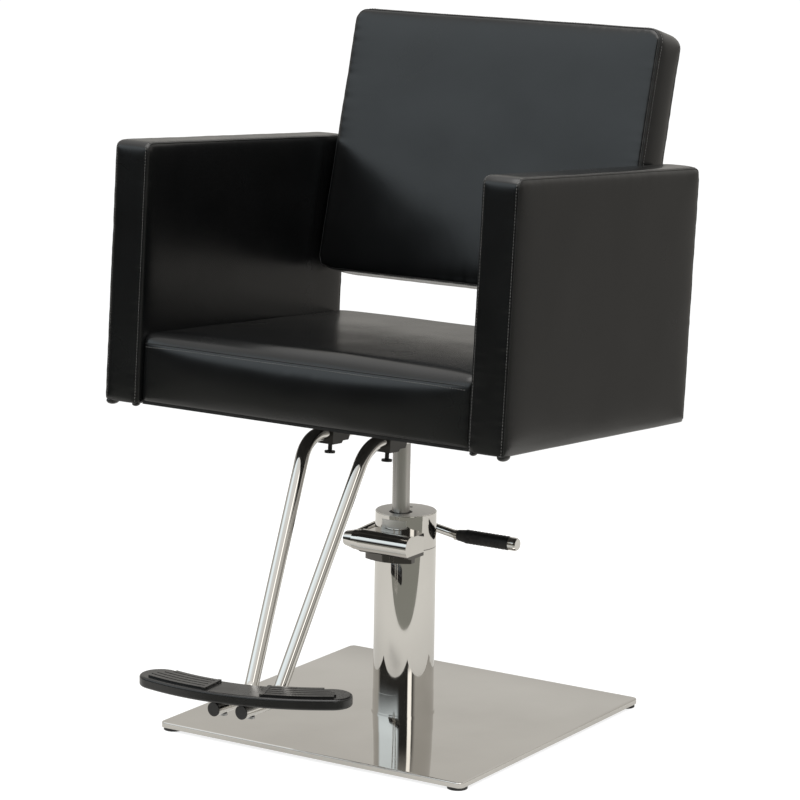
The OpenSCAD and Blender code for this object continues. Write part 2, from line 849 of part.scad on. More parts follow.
base_cover();
base_plate();
base_feet();
centre_pad();
pump_flange();
flange_bolts();
column_foot_ring();
column_sleeve();
pump_reservoir();
pump_cylinder();
pump_head();
ram_bushing();
ram_wiper();
filler_plug();
head_label_plate();
shaft_bushings();
check_valve();
piston();
piston_seal();
ram();
ram_retainer();
seat_hub();
bracket_plate();
bracket_bolts();
cross_bars();
bar_screws();
arm_bolts();
tube_clamp_left();
tube_clamp_right();
seat_board();
seat_foam();
seat_cover();
arm_frame_left();
arm_foam_left();
arm_cover_left();
arm_frame_right();
arm_foam_right();
arm_cover_right();
back_board();
back_foam();
back_cover();
back_brackets();
back_screws();
footrest_tube_left();
footrest_tube_right();
footrest_plate();
tread_left();
tread_right();
tube_plugs();
footrest_screws();
clamp_screw_left();
clamp_screw_right();
pedal_shaft();
shaft_cam();
shaft_end_cap();
pedal_arm();
pedal_grip();
pedal_tip();
plunger();
plunger_spring();
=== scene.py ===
"""Looks of the styling chair: vinyl cushions, polished base and column, and a studio round them.

Lengths are in metres in the chair's frame: +Z up, the sitter faces -Y, the origin on the floor
under the column. Upholstered pieces are shaped in the seat's or the back's own frame first.
"""
import json
import math

import bpy
import numpy as np
from mathutils import Matrix, Vector, noise
from mathutils.bvhtree import BVHTree

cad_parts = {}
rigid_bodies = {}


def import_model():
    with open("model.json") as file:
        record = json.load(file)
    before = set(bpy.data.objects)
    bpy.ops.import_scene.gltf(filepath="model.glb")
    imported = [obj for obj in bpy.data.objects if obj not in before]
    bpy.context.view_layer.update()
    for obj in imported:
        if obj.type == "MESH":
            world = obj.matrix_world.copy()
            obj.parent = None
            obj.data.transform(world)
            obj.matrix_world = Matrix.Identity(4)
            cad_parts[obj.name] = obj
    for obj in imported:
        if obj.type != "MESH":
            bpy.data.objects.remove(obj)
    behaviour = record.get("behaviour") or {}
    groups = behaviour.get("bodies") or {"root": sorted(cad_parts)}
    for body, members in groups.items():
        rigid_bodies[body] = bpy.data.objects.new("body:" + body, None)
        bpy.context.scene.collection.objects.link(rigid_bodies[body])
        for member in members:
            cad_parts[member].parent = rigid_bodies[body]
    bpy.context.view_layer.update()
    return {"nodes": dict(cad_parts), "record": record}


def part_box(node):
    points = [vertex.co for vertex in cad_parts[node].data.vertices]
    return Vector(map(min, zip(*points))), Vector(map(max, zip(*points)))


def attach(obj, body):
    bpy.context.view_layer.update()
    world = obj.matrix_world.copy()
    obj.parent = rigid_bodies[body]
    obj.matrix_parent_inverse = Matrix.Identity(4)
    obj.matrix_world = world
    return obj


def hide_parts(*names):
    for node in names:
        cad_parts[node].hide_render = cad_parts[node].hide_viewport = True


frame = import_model()
nodes = frame["nodes"]
MM = 0.001

# ---- places that the frame gives ------------------------------------------------

SEAT_TILT = math.radians(4.15)
SEAT_HEIGHT = 453.3 * MM
BACK_RECLINE = math.radians(15.1)
BACK_EDGE = Vector((0, 148.3, 613.9)) * MM
SEAT_FRAME = Matrix.Translation((0, 0, SEAT_HEIGHT)) @ Matrix.Rotation(-SEAT_TILT, 4, "X")
BACK_FRAME = Matrix.Translation(BACK_EDGE) @ Matrix.Rotation(-BACK_RECLINE, 4, "X")

ARM_X = 294.7 * MM
ARM_HALF = 27 * MM
ARM_LOW = Vector((-27, -281.5, 0)) * MM
ARM_HIGH = Vector((27, 224.6, 361.4)) * MM
ARM_CORNER = 12 * MM
SEAT_LOW = Vector((-266, -274.5, 1)) * MM
SEAT_HIGH = Vector((266, 216, 98)) * MM
BACK_LOW = Vector((-254.35, 0, 0)) * MM
BACK_HIGH = Vector((254.35, 66, 388)) * MM
BACK_CORNER = 20 * MM
HEAD_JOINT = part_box("column_sleeve")[1].z

# ---- upholstery sizes ------------------------------------------------------------

ROLL = 1.9 * MM                    # how far a panel stands proud of the seam round it
ROLL_WIDTH = 4.5 * MM              # how quickly the panel's edge rolls down to the seam
CUSHION_START = 0.4 * MM           # how far a cushion starts outside its box
SEAT_FRONT_CORNER = 14 * MM
SEAT_REAR_CORNER = 8 * MM
SEAT_SEAM_DROP = 13 * MM           # from the seat's top to the seam along its front
WELT_RADIUS = 0.7 * MM
STITCH_PITCH = 4.2 * MM
ARM_WELT_OUTSIDE = 0.2 * MM        # from the arm's edge out to its welt
ARM_THREAD_INSIDE = 3.2 * MM       # from the arm's edge in to its row of stitches
SEAM_END_RADIUS = 9.5 * MM
SAME = 1e-6                        # two coordinates this close are one place


# ---- small helpers ---------------------------------------------------------------

def only(obj):
    """Selects one object and makes it active."""
    bpy.ops.object.select_all(action="DESELECT")
    obj.select_set(True)
    bpy.context.view_layer.objects.active = obj


def add_box(name, low, high):
    bpy.ops.object.select_all(action="DESELECT")
    bpy.ops.mesh.primitive_cube_add(size=1, location=(low + high) / 2)
    obj = bpy.context.object
    obj.name = obj.data.name = name
    obj.scale = high - low
    bpy.ops.object.transform_apply(location=True, rotation=False, scale=True)
    return obj


def select_edges(obj, chosen):
    """Leaves the object in edit mode with the edges selected whose two ends pass the test."""
    only(obj)
    bpy.ops.object.mode_set(mode="EDIT")
    bpy.ops.mesh.select_mode(type="EDGE")
    bpy.ops.mesh.select_all(action="DESELECT")
    bpy.ops.object.mode_set(mode="OBJECT")
    for edge in obj.data.edges:
        a, b = (obj.data.vertices[i].co for i in edge.vertices)
        edge.select = bool(chosen(a, b))
    bpy.ops.object.mode_set(mode="EDIT")


def bevel_edges(obj, chosen, width, segments):
    select_edges(obj, chosen)
    bpy.ops.mesh.bevel(offset=width, segments=segments, affect="EDGES")
    bpy.ops.object.mode_set(mode="OBJECT")


def apply_modifier(obj, kind, **settings):
    only(obj)
    modifier = obj.modifiers.new(kind.lower(), kind)
    for key, value in settings.items():
        setattr(modifier, key, value)
    bpy.ops.object.modifier_apply(modifier=modifier.name)


def points_of(obj):
    co = np.empty(len(obj.data.vertices) * 3)
    obj.data.vertices.foreach_get("co", co)
    return co.reshape(-1, 3)


def normals_of(obj):
    n = np.empty(len(obj.data.vertices) * 3)
    obj.data.vertices.foreach_get("normal", n)
    return n.reshape(-1, 3)


def set_points(obj, co):
    obj.data.vertices.foreach_set("co", np.ascontiguousarray(co, float).ravel())
    obj.data.update()


def smooth(obj, angle=None):
    only(obj)
    if angle is None:
        bpy.ops.object.shade_smooth()
    else:
        bpy.ops.object.shade_smooth_by_angle(angle=math.radians(angle))


def paint(obj, material):
    obj.data.materials.clear()
    obj.data.materials.append(material)


def finish_piece(obj, body, slot, material, *replaced):
    paint(obj, material)
    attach(obj, body)
    if replaced:
        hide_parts(*replaced)


# ---- materials -------------------------------------------------------------------

def new_group(name, inputs, outputs):
    group = bpy.data.node_groups.new(name, "ShaderNodeTree")
    for label, kind, default in inputs:
        socket = group.interface.new_socket(name=label, in_out="INPUT", socket_type=kind)
        if default is not None:
            socket.default_value = default
    for label, kind in outputs:
        group.interface.new_socket(name=label, in_out="OUTPUT", socket_type=kind)
    return group, group.nodes.new("NodeGroupInput"), group.nodes.new("NodeGroupOutput")


def make_grain_group():
    """Fine pebbled surface height: cells with softened walls, broken up by noise."""
    group, inp, out = new_group(
        "pebbled_grain",
        [("Vector", "NodeSocketVector", None), ("Scale", "NodeSocketFloat", 900.0),
         ("Mix", "NodeSocketFloat", 0.5)],
        [("Height", "NodeSocketFloat")])
    cells = group.nodes.new("ShaderNodeTexVoronoi")
    cells.feature = "SMOOTH_F1"
    cloud = group.nodes.new("ShaderNodeTexNoise")
    cloud.inputs["Detail"].default_value = 3
    mix = group.nodes.new("ShaderNodeMix")
    link = group.links.new
    for texture in (cells, cloud):
        link(inp.outputs["Vector"], texture.inputs["Vector"])
        link(inp.outputs["Scale"], texture.inputs["Scale"])
    link(inp.outputs["Mix"], mix.inputs[0])
    link(cells.outputs["Distance"], mix.inputs[2])
    link(cloud.outputs["Fac"], mix.inputs[3])
    link(mix.outputs[0], out.inputs["Height"])
    return group


def make_cloud_group():
    """A slow drift between two values, such as handling marks in a polish or a sheen."""
    group, inp, out = new_group(
        "cloudy_drift",
        [("Vector", "NodeSocketVector", None), ("Scale", "NodeSocketFloat", 20.0),
         ("Low", "NodeSocketFloat", 0.3), ("High", "NodeSocketFloat", 0.4)],
        [("Value", "NodeSocketFloat")])
    cloud = group.nodes.new("ShaderNodeTexNoise")
    cloud.inputs["Detail"].default_value = 3
    cloud.inputs["Roughness"].default_value = 0.5
    spread = group.nodes.new("ShaderNodeMapRange")
    spread.interpolation_type = "SMOOTHSTEP"
    spread.inputs["From Min"].default_value = 0.25
    spread.inputs["From Max"].default_value = 0.75
    link = group.links.new
    link(inp.outputs["Vector"], cloud.inputs["Vector"])
    link(inp.outputs["Scale"], cloud.inputs["Scale"])
    link(cloud.outputs["Fac"], spread.inputs["Value"])
    link(inp.outputs["Low"], spread.inputs["To Min"])
    link(inp.outputs["High"], spread.inputs["To Max"])
    link(spread.outputs["Result"], out.inputs["Value"])
    return group


GRAIN = make_grain_group()
CLOUD = make_cloud_group()


class Surface:
    """One material under construction: a Principled BSDF with Object coordinates at hand."""

    def __init__(self, name, **values):
        self.material = bpy.data.materials.new(name)
        self.material.use_nodes = True
        self.tree = self.material.node_tree
        self.shader = self.tree.nodes["Principled BSDF"]
        self.place = self.tree.nodes.new("ShaderNodeTexCoord").outputs["Object"]
        for key, value in values.items():
            self.set(key, value)

    def set(self, key, value):
        self.shader.inputs[key.replace("_", " ")].default_value = value

    def link(self, a, b):
        self.tree.links.new(a, b)

    def use(self, group, vector=None, **values):
        node = self.tree.nodes.new("ShaderNodeGroup")
        node.node_tree = group
        self.link(vector or self.place, node.inputs["Vector"])
        for key, value in values.items():
            node.inputs[key].default_value = value
        return node.outputs[0]

    def stretched(self, scale):
        mapping = self.tree.nodes.new("ShaderNodeMapping")
        mapping.inputs["Scale"].default_value = scale
        self.link(self.place, mapping.inputs["Vector"])
        return mapping.outputs["Vector"]

    def rough(self, scale, low, high, vector=None):
        self.link(self.use(CLOUD, vector, Scale=scale, Low=low, High=high), self.shader.inputs["Roughness"])

    def colours(self, scale, dark, light, vector=None):
        value = self.use(CLOUD, vector, Scale=scale, Low=0.0, High=1.0)
        mix = self.tree.nodes.new("ShaderNodeMix")
        mix.data_type = "RGBA"
        mix.inputs[6].default_value = (*dark, 1)
        mix.inputs[7].default_value = (*light, 1)
        self.link(value, mix.inputs[0])
        self.link(mix.outputs[2], self.shader.inputs["Base Color"])
        return mix

    def bump(self, height, distance, strength=1.0, under=None):
        bump = self.tree.nodes.new("ShaderNodeBump")
        bump.inputs["Distance"].default_value = distance
        bump.inputs["Strength"].default_value = strength
        self.link(height, bump.inputs["Height"])
        if under is not None:
            self.link(under, bump.inputs["Normal"])
        self.link(bump.outputs["Normal"], self.shader.inputs["Normal"])
        return bump.outputs["Normal"]


def vinyl(name, dark, light, low, high):
    s = Surface(name)
    s.colours(14, dark, light)
    s.rough(9, low, high)
    slack = s.bump(s.use(GRAIN, Scale=22, Mix=1.0), 0.0004, 0.35)
    s.bump(s.use(GRAIN, Scale=1100, Mix=0.4), 0.0001, 0.4, slack)
    return s.material


def polished(name, tint_dark, tint_light, low=0.02, high=0.06):
    s = Surface(name, Metallic=1.0)
    s.colours(6, tint_dark, tint_light)
    s.rough(30, low, high)
    s.bump(s.use(CLOUD, Scale=7, Low=0, High=1), 0.0002, 0.25)
    return s.material


def brushed(name, dark, light, low, high, along):
    """Metal with fine lines: along is how far the pattern is stretched on each axis."""
    s = Surface(name, Metallic=1.0)
    lines = s.stretched(along)
    s.colours(60, dark, light, lines)
    s.rough(90, low, high, lines)
    s.bump(s.use(CLOUD, lines, Scale=400, Low=0, High=1), 0.00005, 0.4)
    return s.material


def moulded(name, dark, light, low, high, grain, depth):
    s = Surface(name)
    s.colours(25, dark, light)
    s.rough(18, low, high)
    s.bump(s.use(GRAIN, Scale=grain, Mix=0.5), depth, 0.6)
    return s.material


def satin_top_head():
    """Pump head: mirror sides, a dark joint line above the sleeve, and a pale satin top."""
    s = Surface("pump_head_polish", Metallic=1.0)
    metal = s.colours(8, (0.50, 0.485, 0.46), (0.60, 0.585, 0.56))
    split = s.tree.nodes.new("ShaderNodeSeparateXYZ")
    s.link(s.place, split.inputs[0])
    top = s.tree.nodes.new("ShaderNodeMapRange")
    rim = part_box("pump_head")[1].z
    top.inputs["From Min"].default_value = rim - 0.0003
    top.inputs["From Max"].default_value = rim - 0.0001
    top.inputs["To Min"].default_value = 0.05
    top.inputs["To Max"].default_value = 0.42
    s.link(split.outputs["Z"], top.inputs["Value"])
    s.link(top.outputs["Result"], s.shader.inputs["Roughness"])
    above = s.tree.nodes.new("ShaderNodeMapRange")
    above.inputs["From Min"].default_value = HEAD_JOINT + 0.0008
    above.inputs["From Max"].default_value = HEAD_JOINT + 0.0012
    s.link(split.outputs["Z"], above.inputs["Value"])
    shade = s.tree.nodes.new("ShaderNodeMix")
    shade.data_type = "RGBA"
    shade.inputs[6].default_value = (0.10, 0.095, 0.09, 1)
    s.link(above.outputs["Result"], shade.inputs[0])
    s.link(metal.outputs[2], shade.inputs[7])
    bright = s.tree.nodes.new("ShaderNodeMix")
    bright.data_type = "RGBA"
    bright.inputs[7].default_value = (0.86, 0.85, 0.83, 1)
    level = s.tree.nodes.new("ShaderNodeMapRange")
    level.inputs["From Min"].default_value = rim - 0.0003
    level.inputs["From Max"].default_value = rim - 0.0001
    s.link(split.outputs["Z"], level.inputs["Value"])
    s.link(level.outputs["Result"], bright.inputs[0])
    s.link(shade.outputs[2], bright.inputs[6])
    s.link(bright.outputs[2], s.shader.inputs["Base Color"])
    s.bump(s.use(CLOUD, Scale=9, Low=0, High=1), 0.0003, 0.3)
    return s.material


def cambric():
    """Thin woven dust cloth stapled under the seat board."""
    s = Surface("dust_cloth", Roughness=0.9)
    s.colours(30, (0.010, 0.010, 0.010), (0.022, 0.021, 0.020))
    s.bump(s.use(GRAIN, Scale=1500, Mix=0.8), 0.0002, 0.6)
    return s.material


LOOKS = {
    "mirror_chrome": polished("mirror_chrome", (0.57, 0.555, 0.53), (0.63, 0.615, 0.59)),
    "satin_steel": brushed(
        "satin_steel", (0.36, 0.35, 0.34), (0.52, 0.51, 0.49), 0.22, 0.36, (1, 1, 0.02)),
    "plain_steel": brushed(
        "machined_steel", (0.30, 0.30, 0.31), (0.45, 0.45, 0.46), 0.28, 0.45, (1, 0.05, 1)),
    "bronze": brushed("bronze", (0.42, 0.27, 0.10), (0.60, 0.42, 0.18), 0.25, 0.4, (1, 1, 0.1)),
    "black_rubber": moulded(
        "black_rubber", (0.006, 0.006, 0.006), (0.014, 0.013, 0.013), 0.45, 0.6, 1300, 0.00015),
    "black_plastic": moulded(
        "black_plastic", (0.004, 0.004, 0.0045), (0.009, 0.009, 0.009), 0.22, 0.32, 800, 0.00008),
    "grey_paint": moulded(
        "charcoal_paint", (0.020, 0.018, 0.016), (0.040, 0.037, 0.033), 0.3, 0.42, 700, 0.0001),
    "black_vinyl": vinyl("black_vinyl", (0.0026, 0.0029, 0.0031), (0.0040, 0.0043, 0.0046), 0.22, 0.28),
    "foam": moulded("foam", (0.50, 0.45, 0.30), (0.60, 0.55, 0.38), 0.8, 0.95, 500, 0.0005),
    "plywood": brushed("plywood", (0.40, 0.28, 0.16), (0.55, 0.40, 0.24), 0.6, 0.8, (0.1, 1, 1)),
}
WELT_VINYL = vinyl("welt_vinyl", (0.004, 0.0042, 0.0045), (0.007, 0.0072, 0.0075), 0.3, 0.38)
THREAD = moulded("polyester_thread", (0.10, 0.10, 0.10), (0.18, 0.175, 0.17), 0.5, 0.65, 2500, 0.0002)

for part in frame["record"]["subparts"]:
    paint(nodes[part["node"]], LOOKS[part["material_slot"]])
paint(nodes["pump_head"], satin_top_head())
paint(nodes["head_label_plate"],
      brushed("label_foil", (0.66, 0.65, 0.63), (0.78, 0.77, 0.75), 0.35, 0.5, (0.05, 1, 1)))
paint(nodes["seat_board"], cambric())

# ---- upholstery ------------------------------------------------------------------


def puff(obj, pinned, most):
    """Swells the closed skin under air pressure, and limits how far a point moves."""
    rest = points_of(obj)
    group = obj.vertex_groups.new(name="held")
    group.add([int(i) for i in np.flatnonzero(pinned)], 1.0, "REPLACE")
    only(obj)
    modifier = obj.modifiers.new("skin", "CLOTH")
    cloth = modifier.settings
    cloth.quality = 4
    cloth.mass = 0.3
    cloth.use_pressure = True
    cloth.uniform_pressure_force = 4.0
    cloth.effector_weights.gravity = 0.0
    cloth.vertex_group_mass = "held"
    modifier.collision_settings.use_collision = False
    modifier.collision_settings.use_self_collision = False
    for step in range(1, 21):
        bpy.context.scene.frame_set(step)
    only(obj)
    bpy.ops.object.modifier_apply(modifier=modifier.name)
    moved = points_of(obj) - rest
    length = np.linalg.norm(moved, axis=1)
    reach = max(length.max(), 1e-9)
    scale = np.tanh(2.2 * length / reach) * most / np.maximum(length, 1e-9)
    set_points(obj, rest + moved * scale[:, None])
    obj.vertex_groups.clear()


def seam_fields(co, low, high, axis):
    """For points on a boxed cushion whose two panels face along axis: how far each point
    is from the seam round its panel, and the point of that seam nearest to it."""
    others = [i for i in range(3) if i != axis]
    to_panel = np.minimum(co[:, axis] - low[axis], high[axis] - co[:, axis])
    gaps = np.stack([co[:, others[0]] - low[others[0]], high[others[0]] - co[:, others[0]],
                     high[others[1]] - co[:, others[1]],
                     co[:, others[1]] - low[others[1]] + (0 if axis == 1 else 1)])
    inward = gaps.min(axis=0)
    distance = np.where(to_panel < inward, inward, to_panel)
    nearest = co.copy()
    side = gaps.argmin(axis=0)
    walls = [(others[0], low), (others[0], high), (others[1], high), (others[1], low)]
    for which, (across, bound) in enumerate(walls):
        nearest[side == which, across] = bound[across]
    nearest[:, axis] = np.where(co[:, axis] > (low[axis] + high[axis]) / 2, high[axis], low[axis])
    return distance, nearest


def refit(obj, low, high):
    """Stretches a mesh to fill a box, to give back what remeshing shaved off its sides."""
    co = points_of(obj)
    least, most = co.min(axis=0), co.max(axis=0)
    set_points(obj, (co - least) / (most - least) * np.array(high - low) + np.array(low))


def boxed_cushion(name, low, high, rounded, voxel, axis, crown, pucker):
    """A boxed cushion in its own frame. rounded lists (edge test, radius), axis is the way
    that its panels face, and crown is how far they swell."""
    start_low = low - Vector((CUSHION_START, CUSHION_START, 0))
    start_high = high + Vector((CUSHION_START,) * 3)
    obj = add_box(name, start_low, start_high)
    for chosen, radius in rounded:
        bevel_edges(obj, chosen, radius, 6)
    apply_modifier(obj, "REMESH", mode="VOXEL", voxel_size=voxel, use_smooth_shade=True)
    refit(obj, start_low, start_high)
    normal = normals_of(obj)
    across = np.abs(normal[:, axis])
    round_it = np.sqrt(np.maximum(0, 1 - across ** 2))
    pinned = (across > 0.25) & (round_it > 0.25)
    if axis != 1:
        pinned |= normal[:, 2] < -0.5
    puff(obj, pinned, crown)
    apply_modifier(obj, "SUBSURF", levels=1, render_levels=1)
    co, normal = points_of(obj), normals_of(obj)
    distance, nearest = seam_fields(co, start_low, start_high, axis)
    lift = np.empty(len(co))
    for i, (point, seam_point) in enumerate(zip(co, nearest)):
        pull = noise.noise(Vector(seam_point) * 85) + 0.5 * noise.noise(Vector(seam_point) * 190)
        drift = noise.noise(Vector(point) * 11)
        lift[i] = pucker * pull * math.exp(-distance[i] / 0.011) + 0.0005 * drift
    roll = ROLL * (1 - np.exp(-np.maximum(distance - 0.001, 0) / ROLL_WIDTH))
    under = normal[:, 2] < -0.6
    change = np.where(under & (axis != 1), 0.0, lift + roll)
    set_points(obj, co + normal * change[:, None])
    smooth(obj)
    return obj


def settle(obj, place):
    """Moves a piece from its own frame to its place in the chair, in its mesh."""
    obj.data.transform(place)
    obj.data.update()


def skin_of(obj):
    co = [v.co.copy() for v in obj.data.vertices]
    return BVHTree.FromPolygons(co, [tuple(p.vertices) for p in obj.data.polygons])


def on_skin(tree, point, proud):
    found, normal, _, _ = tree.find_nearest(point)
    return found + normal * proud, normal


def arc(centre, radius, start, stop, steps):
    return [(centre[0] + radius * math.cos(start + (stop - start) * i / steps),
             centre[1] + radius * math.sin(start + (stop - start) * i / steps)) for i in range(steps + 1)]


def evenly(points, pitch):
    """Points at an even pitch along a broken line."""
    points = [Vector(p) for p in points]
    out, carry = [points[0]], 0.0
    for a, b in zip(points, points[1:]):
        length = (b - a).length
        along = pitch - carry
        while along <= length:
            out.append(a.lerp(b, along / length))
            along += pitch
        carry = length - (along - pitch)
    return out


def tube_along(name, points, radius, closed=False):
    curve = bpy.data.curves.new(name, "CURVE")
    curve.dimensions = "3D"
    curve.bevel_depth = radius
    curve.bevel_resolution = 2
    curve.use_fill_caps = not closed
    spline = curve.splines.new("POLY")
    spline.points.add(len(points) - 1)
    for target, point in zip(spline.points, points):
        target.co = (*point, 1)
    spline.use_cyclic_u = closed
    obj = bpy.data.objects.new(name, curve)
    bpy.context.scene.collection.objects.link(obj)
    only(obj)
    bpy.ops.object.convert(target="MESH")
    obj = bpy.context.object
    smooth(obj)
    return obj


def make_stitch():
    """One stitch along +X: a short fat thread with its ends dipping into the vinyl."""
    bpy.ops.object.select_all(action="DESELECT")
    bpy.ops.mesh.primitive_cylinder_add(vertices=6, radius=0.00042, depth=0.0026,
                                        rotation=(0, math.pi / 2, 0))
    obj = bpy.context.object
    obj.name = "stitch"
    bpy.ops.object.transform_apply(location=False, rotation=True, scale=False)
    bevel_edges(obj, lambda a, b: abs(a.x - b.x) < SAME, 0.0003, 1)
    return obj


STITCH = make_stitch()


def stitches_along(name, tree, points, pitch):
    """Copies of the stitch in one mesh, laid on the skin along the points."""
    shape = points_of(STITCH)
    faces = [tuple(p.vertices) for p in STITCH.data.polygons]
    spots = evenly(points, pitch)
    all_points, all_faces = [], []
    for a, b in zip(spots, spots[1:]):
        centre, normal = on_skin(tree, (a + b) / 2, 0.00012)
        along = (b - a).normalized()
        side = normal.cross(along).normalized()
        up = along.cross(side)
        base = len(all_points) * len(shape)
        turned = shape @ np.array([along, side, up])
        all_points.append(turned + np.array(centre))
        all_faces.extend(tuple(i + base for i in face) for face in faces)
    mesh = bpy.data.meshes.new(name)
    mesh.from_pydata(np.concatenate(all_points).tolist(), [], all_faces)
    obj = bpy.data.objects.new(name, mesh)
    bpy.context.scene.collection.objects.link(obj)
    smooth(obj)
    return obj


def sew(cushion, name, body, welt_line, thread_line, closed=False):
    """A welt along one seam of a placed cushion, and a row of stitches beside it."""
    tree = skin_of(cushion)
    welt_points = [on_skin(tree, p, 0.0003)[0] for p in evenly(welt_line, 0.004)]
    tube = tube_along(name + "_welt", welt_points, WELT_RADIUS, closed)
    finish_piece(tube, body, "black_vinyl", WELT_VINYL)
    thread = stitches_along(name + "_stitching", tree, thread_line, STITCH_PITCH)
    finish_piece(thread, body, "black_vinyl", THREAD)


def side_profile(low, high, front_radius, rear_radius):
    """The outline of an arm's or seat's side from the front bottom over the top to the rear."""
    top = high.z
    line = [(low.y, low.z + 0.002), (low.y, top - front_radius)]
    line += arc((low.y + front_radius, top - front_radius), front_radius, math.pi, math.pi / 2, 6)
    line += arc((high.y - rear_radius, top - rear_radius), rear_radius, math.pi / 2, 0, 6)
    return line + [(high.y, low.z + 0.002)]


def make_arms():
    rounded = [(lambda a, b: a.z > 0.3 and b.z > 0.3 and abs(a.y - b.y) < SAME, ARM_CORNER)]
    first = boxed_cushion("arm_left_cushion", ARM_LOW, ARM_HIGH, rounded, 0.005, 0, 0.002, 0.0005)
    second = first.copy()
    second.data = first.data.copy()
    second.name = second.data.name = "arm_right_cushion"
    bpy.context.scene.collection.objects.link(second)
    for obj, side, word in ((first, 1, "left"), (second, -1, "right")):
        place = SEAT_FRAME @ Matrix.Translation((side * ARM_X, 0, 0))
        settle(obj, place)
        finish_piece(obj, "seat", "black_vinyl", LOOKS["black_vinyl"],
                     "arm_cover_" + word, "arm_foam_" + word, "arm_frame_" + word)
        profile = side_profile(ARM_LOW, ARM_HIGH, ARM_CORNER, ARM_CORNER)
        for edge, edge_word in ((1, "a"), (-1, "b")):
            welt = [place @ Vector((edge * (ARM_HALF + ARM_WELT_OUTSIDE), y, z)) for y, z in profile]
            thread = [place @ Vector((edge * (ARM_HALF - ARM_THREAD_INSIDE), y, z)) for y, z in profile]
            sew(obj, f"arm_{word}_seam_{edge_word}", "seat", welt, thread)


def make_seam_ends():
    """Small gathers of vinyl where the panel seams turn under an arm's front corners."""
    for side, word in ((1, "left"), (-1, "right")):
        for edge, size in ((1, 1.0), (-1, 0.6)):
            bpy.ops.object.select_all(action="DESELECT")
            bpy.ops.mesh.primitive_uv_sphere_add(segments=24, ring_count=12,
                                                 radius=SEAM_END_RADIUS * size)
            obj = bpy.context.object
            obj.name = f"arm_{word}_seam_end_{'outer' if edge > 0 else 'inner'}"
            bpy.ops.object.mode_set(mode="EDIT")
            bpy.ops.mesh.select_all(action="SELECT")
            bpy.ops.transform.resize(value=(0.75, 1.35, 0.62))
            bpy.ops.object.mode_set(mode="OBJECT")
            across = side * ARM_X + side * edge * (ARM_HALF - 0.0055)
            settle(obj, SEAT_FRAME @ Matrix.Translation((across, ARM_LOW.y + 0.011 * size, -0.0006)))
            smooth(obj)
            finish_piece(obj, "seat", "black_vinyl", WELT_VINYL)


def make_seat():
    def crosswise_top(a, b):
        return a.z > 0.08 and b.z > 0.08 and abs(a.y - b.y) < SAME

    rounded = [(lambda a, b: crosswise_top(a, b) and a.y < 0 and b.y < 0, SEAT_FRONT_CORNER),
               (lambda a, b: crosswise_top(a, b) and a.y > 0 and b.y > 0, SEAT_REAR_CORNER)]
    obj = boxed_cushion("seat_cushion", SEAT_LOW, SEAT_HIGH, rounded, 0.006, 0, 0.0045, 0.0004)
    settle(obj, SEAT_FRAME)
    finish_piece(obj, "seat", "black_vinyl", LOOKS["black_vinyl"], "seat_cover", "seat_foam")
    reach = SEAT_HIGH.x - 0.006
    height = SEAT_HIGH.z - SEAT_SEAM_DROP
    welt = [SEAT_FRAME @ Vector((x * reach, SEAT_LOW.y, height)) for x in (-1, 1)]
    thread = [SEAT_FRAME @ Vector((x * reach, SEAT_LOW.y, height - 0.0045)) for x in (-1, 1)]
    sew(obj, "seat_front_seam", "seat", welt, thread)


def make_back():
    def upright(a, b):
        return abs(a.x - b.x) < SAME and abs(a.z - b.z) < SAME

    obj = boxed_cushion("back_cushion", BACK_LOW, BACK_HIGH, [(upright, BACK_CORNER)],
                        0.0055, 1, 0.004, 0.0005)
    settle(obj, BACK_FRAME)
    finish_piece(obj, "seat", "black_vinyl", LOOKS["black_vinyl"], "back_cover", "back_foam", "back_board")
    r, w, h = BACK_CORNER, BACK_HIGH.x, BACK_HIGH.z
    outline = []
    for cx, cz, start in ((w - r, h - r, 0), (-w + r, h - r, 1), (-w + r, r, 2), (w - r, r, 3)):
        outline += arc((cx, cz), r, start * math.pi / 2, (start + 1) * math.pi / 2, 6)
    outline.append(outline[0])
    for y, inward, word in ((0.001, 1, "front"), (BACK_HIGH.y - 0.001, -1, "rear")):
        welt = [BACK_FRAME @ Vector((x, y, z)) for x, z in outline]
        thread = [BACK_FRAME @ Vector((x, y + inward * 0.0052, z)) for x, z in outline]
        sew(obj, f"back_{word}_seam", "seat", welt, thread, closed=True)


make_arms()
make_seam_ends()
make_seat()
make_back()
bpy.data.objects.remove(STITCH)

# ---- polished base -----------------------------------------------------------------


def make_base():
    """The polished sheet over the base, with its folded corners and softened top edge."""
    low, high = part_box("base_cover")
    obj = add_box("polished_base", low, high)
    bevel_edges(obj, lambda a, b: abs(a.z - b.z) > 1e-3, 9 * MM, 8)
    top = high.z - 1e-5
    bevel_edges(obj, lambda a, b: a.z > top and b.z > top, 1.8 * MM, 4)
    bottom = low.z + 1e-5
    bevel_edges(obj, lambda a, b: a.z < bottom and b.z < bottom, 0.6 * MM, 2)
    smooth(obj, 35)
    finish_piece(obj, "base", "mirror_chrome", LOOKS["mirror_chrome"], "base_cover")


make_base()

# ---- studio ------------------------------------------------------------------------

CAMERA_AT = Vector((2.49173, -3.99307, 1.41167))
CAMERA_AZIMUTH = math.radians(32.10)
CAMERA_RISE = math.radians(11.36)
CAMERA_ROLL = math.radians(0.91)
LENS = 152.87


